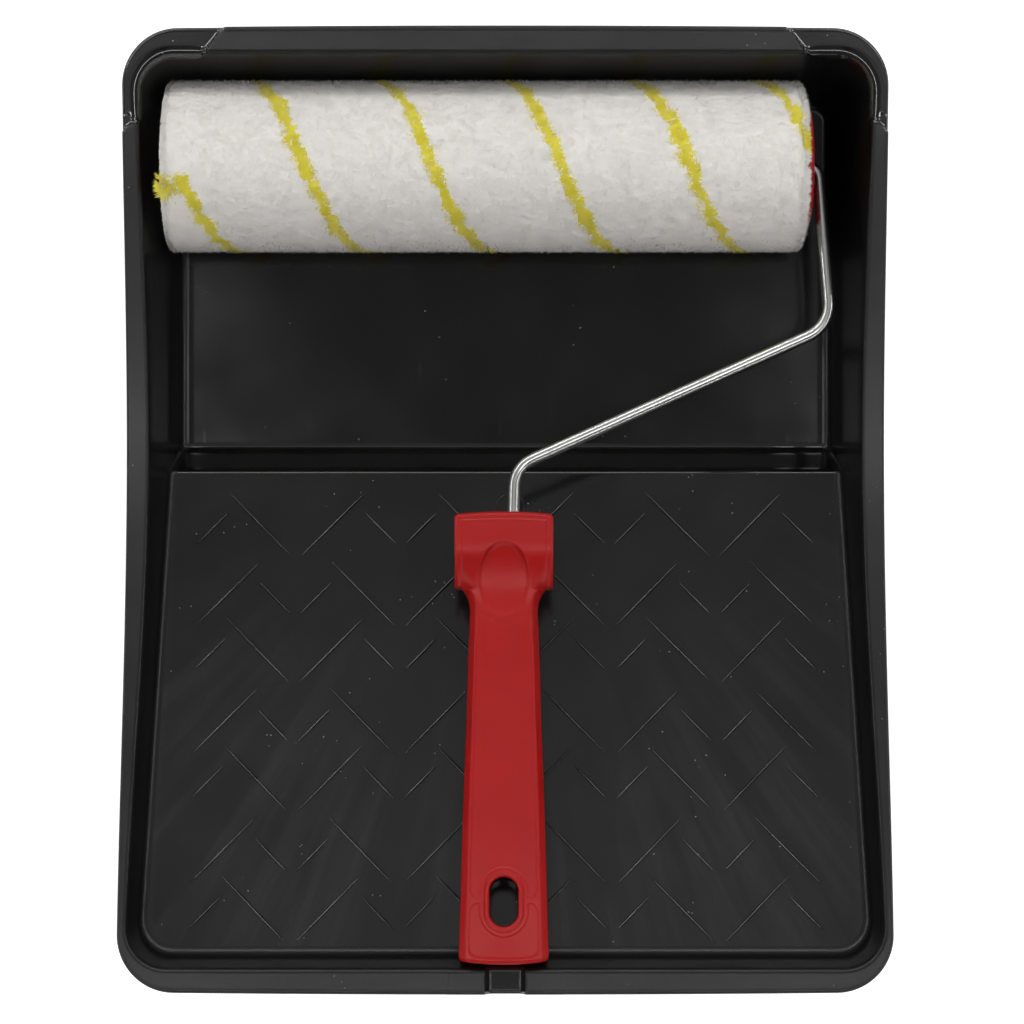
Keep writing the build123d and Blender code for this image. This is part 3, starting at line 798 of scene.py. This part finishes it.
# ---- roller: pile ----------------------------------------------------------------------------
PILE_RADIUS = 31.0
PILE_LEFT, PILE_RIGHT = CORE_LEFT - 0.4, CORE_RIGHT + 0.8
END_ROUND = 4.2
LEAD = 91.0
STRIPE_START = -93.2            # where a stripe crosses the back of the sleeve
STRIPE_HALF, STRIPE_RAG = 2.4, (2.4, 1.1)    # the rag is coarse, then fine
COVER = 6.0                     # white pile lies over the stripe at the left end by this much
WALL_BITE, BITE_LUMPS = 1.0, 0.6    # how far the pile is pressed into the side wall's thickness


def pile_radius(x):
    """The brushed pile's radius along the sleeve, round at its ends."""
    room = min(x - PILE_LEFT, PILE_RIGHT - x)
    if room >= END_ROUND:
        return PILE_RADIUS
    t = 1 - max(room, 0.0) / END_ROUND
    return PILE_RADIUS - END_ROUND * (1 - sqrt(max(0.0, 1 - t * t)))


def round_sleeve(x, turn, radius):
    """A point about the axle; turn 0 is the back, a quarter turn is the top."""
    return Vector((x, AXLE_Y + radius * cos(turn), AXLE_Z + radius * sin(turn)))


def stripe(x, turn):
    """How far inside a yellow stripe a place lies, in millimetres, with a ragged edge."""
    away = (x - STRIPE_START - LEAD * turn / (2 * pi) - 1.9 * (cos(turn) - 1)) % (LEAD / 2)
    away = min(away, LEAD / 2 - away)
    spot = Vector((x * 0.30, 9 * cos(turn), 9 * sin(turn)))
    coarse, fine = noise.noise(spot), noise.noise(spot * 3.1 + Vector((5, 5, 5)))
    rag = coarse * STRIPE_RAG[0] + fine * STRIPE_RAG[1]
    covered = COVER * smoothstep(PILE_LEFT + 16, PILE_LEFT + 6, x) if cos(turn) > -0.2 else 0.0
    return STRIPE_HALF + rag - away - covered


def make_pile_base(white, yellow):
    """The mass of the pile as one lumpy skin from core to core."""
    along, around = 300, 290
    points, places = [], []
    low, high = PILE_LEFT + 0.3, PILE_RIGHT - 0.3
    xs = [low] * 3 + list(np.linspace(low, high, along)) + [high] * 3
    inner = [21.0, 22.5, 24.0]
    for i, x in enumerate(xs):
        for j in range(around):
            turn = 2 * pi * j / around
            if i < 3:
                radius = inner[i]
            elif i >= len(xs) - 3:
                radius = inner[len(xs) - 1 - i]
            else:
                spot = Vector((x, PILE_RADIUS * cos(turn), PILE_RADIUS * sin(turn)))
                lump = noise.noise(spot * 0.3) * 0.4 + noise.noise(spot * 0.8) * 0.25
                radius = pile_radius(x) - 0.6 + lump
            points.append(round_sleeve(x, turn, radius))
    faces = ring_faces(around, len(xs))
    for q in faces:
        x = points[q[0]].x
        turn = 2 * pi * (q[0] % around) / around
        places.append(1 if stripe(x, turn) > 0.3 else 0)
    return new_object("pile_base", points, faces, [white, yellow], places)


def held_in(point):
    """A point of the pile pulled back to inside the side wall, wherever the sleeve has spun to."""
    lowest = AXLE_Z - hypot(point.y - AXLE_Y, point.z - AXLE_Z)
    lumps = BITE_LUMPS * noise.noise(point * 0.7)
    limit = CAVITY_X - (REF_Z - lowest) * DRAFT + WALL_BITE + lumps
    return Vector((max(point.x, -limit), point.y, point.z))


def make_tufts(name, roots, mat, length, width, loose=False):
    """Short curved fibres combed flat on the pile, from roots given as x, turn and radius."""
    points, faces, normals = [], [], []
    for x, turn, radius in roots:
        out = Vector((0, cos(turn), sin(turn)))
        room = min(x - PILE_LEFT, PILE_RIGHT - x)
        if room < END_ROUND:
            sign = -1 if x < 0 else 1
            turned = 1 - max(room, 0.0) / END_ROUND
            out = (out * (1 - 0.25 * turned) + Vector((sign, 0, 0)) * 0.8 * turned).normalized()
        side = Vector((0, -sin(turn), cos(turn)))
        other = out.cross(side)
        spot = Vector((x * 0.25, 8 * cos(turn), 8 * sin(turn)))
        heading = 2 * pi * noise.noise(spot) * 1.6 + rng.normal(0, 0.9)
        along = side * cos(heading) + other * sin(heading)
        lift = rng.uniform(0.15, 0.75)
        size = rng.uniform(*length)
        flat = out.cross(along).normalized() * (width * rng.uniform(0.6, 1.3) / 2)
        root = round_sleeve(x, turn, radius)
        mid = root + (along * 0.8 + out * (lift + 0.25)).normalized() * size * 0.55
        tip = mid + (along * 0.95 + out * (lift - 0.3)).normalized() * size * 0.45
        if not loose:
            root, mid, tip = held_in(root), held_in(mid), held_in(tip)
        start = len(points)
        points += [root - flat, root + flat, mid - flat * 0.9, mid + flat * 0.9, tip]
        faces += [(start + 2, start + 3, start + 1, start), (start + 4, start + 3, start + 2)]
        clump = noise.noise_vector(Vector((x, PILE_RADIUS * cos(turn), PILE_RADIUS * sin(turn))) * 0.5)
        a, b = rng.normal(0, 0.12, 2)
        normals += [(out + side * a + other * b + clump * 0.24).normalized()] * 5
    obj = new_object(name, points, faces, [mat])
    obj.data.normals_split_custom_set_from_vertices(normals)
    return obj


WHITE_TUFTS, END_TUFTS, LOOSE_TUFTS = 180000, 9000, 550
WHITE_PIECES = 3
END_RADII = (22.5, 30.2)
LOOSE_TURN, LOOSE_SPREAD = 1.93, (2.7, 0.055)   # the stray tuft's place, and its spread along and round


def make_pile(white, yellow):
    """Tufts over the whole sleeve, sorted into white and yellow, and one stray yellow tuft."""
    pale, bright, loose = [], [], []
    xs = rng.uniform(PILE_LEFT + 0.2, PILE_RIGHT - 0.2, WHITE_TUFTS)
    turns = rng.uniform(0, 2 * pi, WHITE_TUFTS)
    depths = rng.uniform(0.7, 1.5, WHITE_TUFTS)
    for x, turn, low in zip(xs, turns, depths):
        root = (x, turn, pile_radius(x) - low)
        (bright if stripe(x, turn) > rng.normal(0, 0.35) else pale).append(root)
    for x_end in (PILE_LEFT, PILE_RIGHT):
        for _ in range(END_TUFTS):
            turn = rng.uniform(0, 2 * pi)
            radius = sqrt(rng.uniform(END_RADII[0] ** 2, END_RADII[1] ** 2))
            over = max(0.0, radius - PILE_RADIUS + END_ROUND) / END_ROUND
            deep = 0.3 + END_ROUND * (1 - sqrt(max(0.0, 1 - over * over)))
            root = (x_end + (deep if x_end < 0 else -deep), turn, radius)
            (bright if stripe(x_end, turn) > 0 else pale).append(root)
    for _ in range(LOOSE_TUFTS):
        x = PILE_LEFT - 0.2 + abs(rng.normal(0, LOOSE_SPREAD[0]))
        turn = LOOSE_TURN + rng.normal(0, LOOSE_SPREAD[1])
        loose.append((x, turn, pile_radius(x + 1.5) - rng.uniform(0.9, 2.4)))
    part = len(pale) // WHITE_PIECES + 1
    pieces = [make_tufts(f"pile_white_{i + 1}", pale[i * part:(i + 1) * part], white, (1.5, 2.6), 0.23)
              for i in range(WHITE_PIECES)]
    return pieces + [make_tufts("pile_stripes", bright, yellow, (1.7, 2.7), 0.3),
                     make_tufts("pile_loose_tuft", loose, yellow, (2.2, 3.8), 0.32, True)]


# ---- materials -------------------------------------------------------------------------------
tray_rim_mat = tray_material("tray_rim_grained", (0.007, 0.0068, 0.007), grey(0.013), 0.34, 0.022, 0.4)
tray_wall_mat = tray_material("tray_wall_satin", grey(0.004), grey(0.007), 0.32, 0.003, 0.2, shine=0.42)
tray_gloss_mat = tray_material("tray_well_gloss", grey(0.004), grey(0.007), 0.10, 0.001, 0.4)
tray_spout_mat = tray_material("tray_spout_gloss", grey(0.006), grey(0.010), 0.09, 0.001, 0.4, shine=1.0)
tray_ramp_mat = tray_material("tray_ramp_gloss", grey(0.005), grey(0.020), 0.15, 0.002, 0.6, True)
# painted highlight: a paler grey on the rib crests stands in for the light lines that they catch
rib_painted_highlight_mat = tray_material("tray_rib_painted_highlight", grey(0.02), grey(0.14), 0.22, 0.002, 0.6, shine=1.0)
handle_mat = plastic_material("handle_red", (0.40, 0.0035, 0.003), (0.44, 0.005, 0.004), 0.34, 0.015)
cap_mat = plastic_material("cap_red", (0.34, 0.012, 0.014), (0.42, 0.018, 0.018), 0.35, 0.01)
rod_mat = steel_material("rod_zinc", (0.62, 0.62, 0.61), 0.24, (60.0, 1500.0, 1500.0))
spring_mat = steel_material("spring_zinc", (0.55, 0.55, 0.56), 0.3, (40.0, 2000.0, 2000.0))
nylon_mat = plastic_material("bush_natural", (0.70, 0.68, 0.62), (0.80, 0.78, 0.72), 0.4, 0.01)
core_mat = plastic_material("core_grey", (0.26, 0.25, 0.24), (0.36, 0.35, 0.33), 0.55, 0.03)
white_mat = pile_material("pile_white", (0.94, 0.915, 0.875), (0.98, 0.955, 0.915))
yellow_mat = pile_material("pile_yellow", (0.80, 0.70, 0.03), (0.93, 0.83, 0.08))

CAD_FINISH = {"inner_end_cap": cap_mat, "outer_end_cap": cap_mat, "wire_frame": rod_mat,
              "inner_washer": spring_mat, "outer_washer": spring_mat, "push_nut": spring_mat,
              "inner_bush": nylon_mat, "outer_bush": nylon_mat, "core_tube": core_mat,
              "tray": tray_gloss_mat, "handle": handle_mat, "pile_cover": white_mat}
for name, obj in nodes.items():
    finish = CAD_FINISH.get(name, spring_mat)
    if not obj.material_slots:
        obj.data.materials.append(finish)
    for entry in obj.material_slots:
        entry.material = finish

# ---- build -----------------------------------------------------------------------------------
tray_mats = tray_rim_mat, tray_gloss_mat, tray_ramp_mat, tray_wall_mat, tray_spout_mat
place(make_tray(*tray_mats), "tray", "tray_plastic", "tray")
place(make_ribs(tray_ramp_mat, rib_painted_highlight_mat), "tray", "tray_plastic")
place(make_gate(tray_ramp_mat), "tray", "tray_plastic")
place(make_legs(tray_gloss_mat), "tray", "tray_plastic")
place(make_handle(handle_mat), "roller_frame", "handle_plastic", "handle")
place(make_slot_lining(handle_mat), "roller_frame", "handle_plastic")
place(make_pile_base(white_mat, yellow_mat), "sleeve", "pile_fabric", "pile_cover")
for tufts in make_pile(white_mat, yellow_mat):
    place(tufts, "sleeve", "pile_fabric")

# ---- floor, light and camera -----------------------------------------------------------------
FLOOR_HALF = 6.0
floor_mesh = bpy.data.meshes.new("studio_floor")
corners = [(-FLOOR_HALF, -FLOOR_HALF, 0), (FLOOR_HALF, -FLOOR_HALF, 0), (FLOOR_HALF, FLOOR_HALF, 0),
           (-FLOOR_HALF, FLOOR_HALF, 0)]
floor_mesh.from_pydata([Vector(c) - Vector((0, 0, 0.0004)) for c in corners], [], [(0, 1, 2, 3)])
studio_floor = bpy.data.objects.new("studio_floor", floor_mesh)
bpy.context.scene.collection.objects.link(studio_floor)
floor_mat = material("floor_pale", Roughness=0.9, Base_Color=(*grey(0.9), 1),
                     Emission_Color=(*grey(1.0), 1), Emission_Strength=0.75)[0]
floor_mesh.materials.append(floor_mat)


def sky(world):
    """A dim dome with a bright panel each side of the camera, soft patches and a thin bright ring.

    u and v are a direction's slopes to the right and to the back, so the patches lie on a flat ceiling.
    """
    world.use_nodes = True
    tree = world.node_tree
    back = tree.nodes["Background"]
    way = add(tree, "SeparateXYZ", Vector=add(tree, "TexCoord").outputs["Generated"])
    x, y, z = way.outputs
    z_up = math_node(tree, "MAXIMUM", z, 0.02)
    u = math_node(tree, "DIVIDE", x, z_up)
    v = math_node(tree, "DIVIDE", y, z_up)
    u_abs = math_node(tree, "ABSOLUTE", u)

    def window(value, low, high, soft):
        rise = remap(tree, value, low - soft, low + soft, 0.0, 1.0)
        fall = remap(tree, value, high - soft, high + soft, 1.0, 0.0)
        return math_node(tree, "MULTIPLY", rise, fall)
    light = remap(tree, y, -0.6, 0.6, DOME_FRONT, DOME_BACK)
    patches = [  # |u| from, to, softness, v from, to, softness, strength
        (0.127, 0.42, 0.012, -0.080, 0.050, 0.02, PANEL_LIGHT),
        (-1.0, 0.15, 0.05, 0.19, 0.46, 0.06, 0.26),
        (-1.0, 0.30, 0.06, -0.42, -0.08, 0.05, 0.22),
        (-1.0, 0.30, 0.06, -0.06, 0.75, 0.05, 0.14),
        (-1.0, 0.13, 0.02, 0.062, 0.17, 0.01, -0.12),
        (-1.0, 1.10, 0.20, 0.80, 2.50, 0.12, BACK_LIGHT),
        (-1.0, 0.07, 0.006, -0.9, 0.048, 0.006, -0.08)]
    for low, high, soft, v_low, v_high, v_soft, strength in patches:
        across, along = window(u_abs, low, high, soft), window(v, v_low, v_high, v_soft)
        patch = math_node(tree, "MULTIPLY", across, along)
        light = math_node(tree, "ADD", light, math_node(tree, "MULTIPLY", patch, strength))
    ring = math_node(tree, "MULTIPLY", window(z, *RING_Z, 0.006),
                     remap(tree, y, -0.7, 0.7, RING_FRONT, RING_BACK))
    light = math_node(tree, "ADD", light, ring)
    light = math_node(tree, "MULTIPLY", light, remap(tree, z, -0.05, 0.05, 0.0, 1.0))
    light = math_node(tree, "ADD", light, remap(tree, z, -0.05, 0.05, BELOW_LIGHT, 0.0))
    tree.links.new(light, back.inputs["Strength"])
    back.inputs["Color"].default_value = (1, 1, 1, 1)


DOME_FRONT, DOME_BACK = 0.10, 0.16
PANEL_LIGHT, BACK_LIGHT, BELOW_LIGHT = 8.4, 0.6, 0.8
RING_FRONT, RING_BACK, RING_Z = 8.0, 15.0, (0.525, 0.557)
world = bpy.data.worlds.new("studio_dome")
bpy.context.scene.world = world
sky(world)

bpy.context.scene.view_settings.view_transform = "Standard"
camera_data = bpy.data.cameras.new("camera")
camera_data.lens = 112.9
camera_data.sensor_width = 36.0
camera = bpy.data.objects.new("camera", camera_data)
camera.location = (0.002385, -0.00166, 1.2)
bpy.context.scene.collection.objects.link(camera)
bpy.context.scene.camera = camera
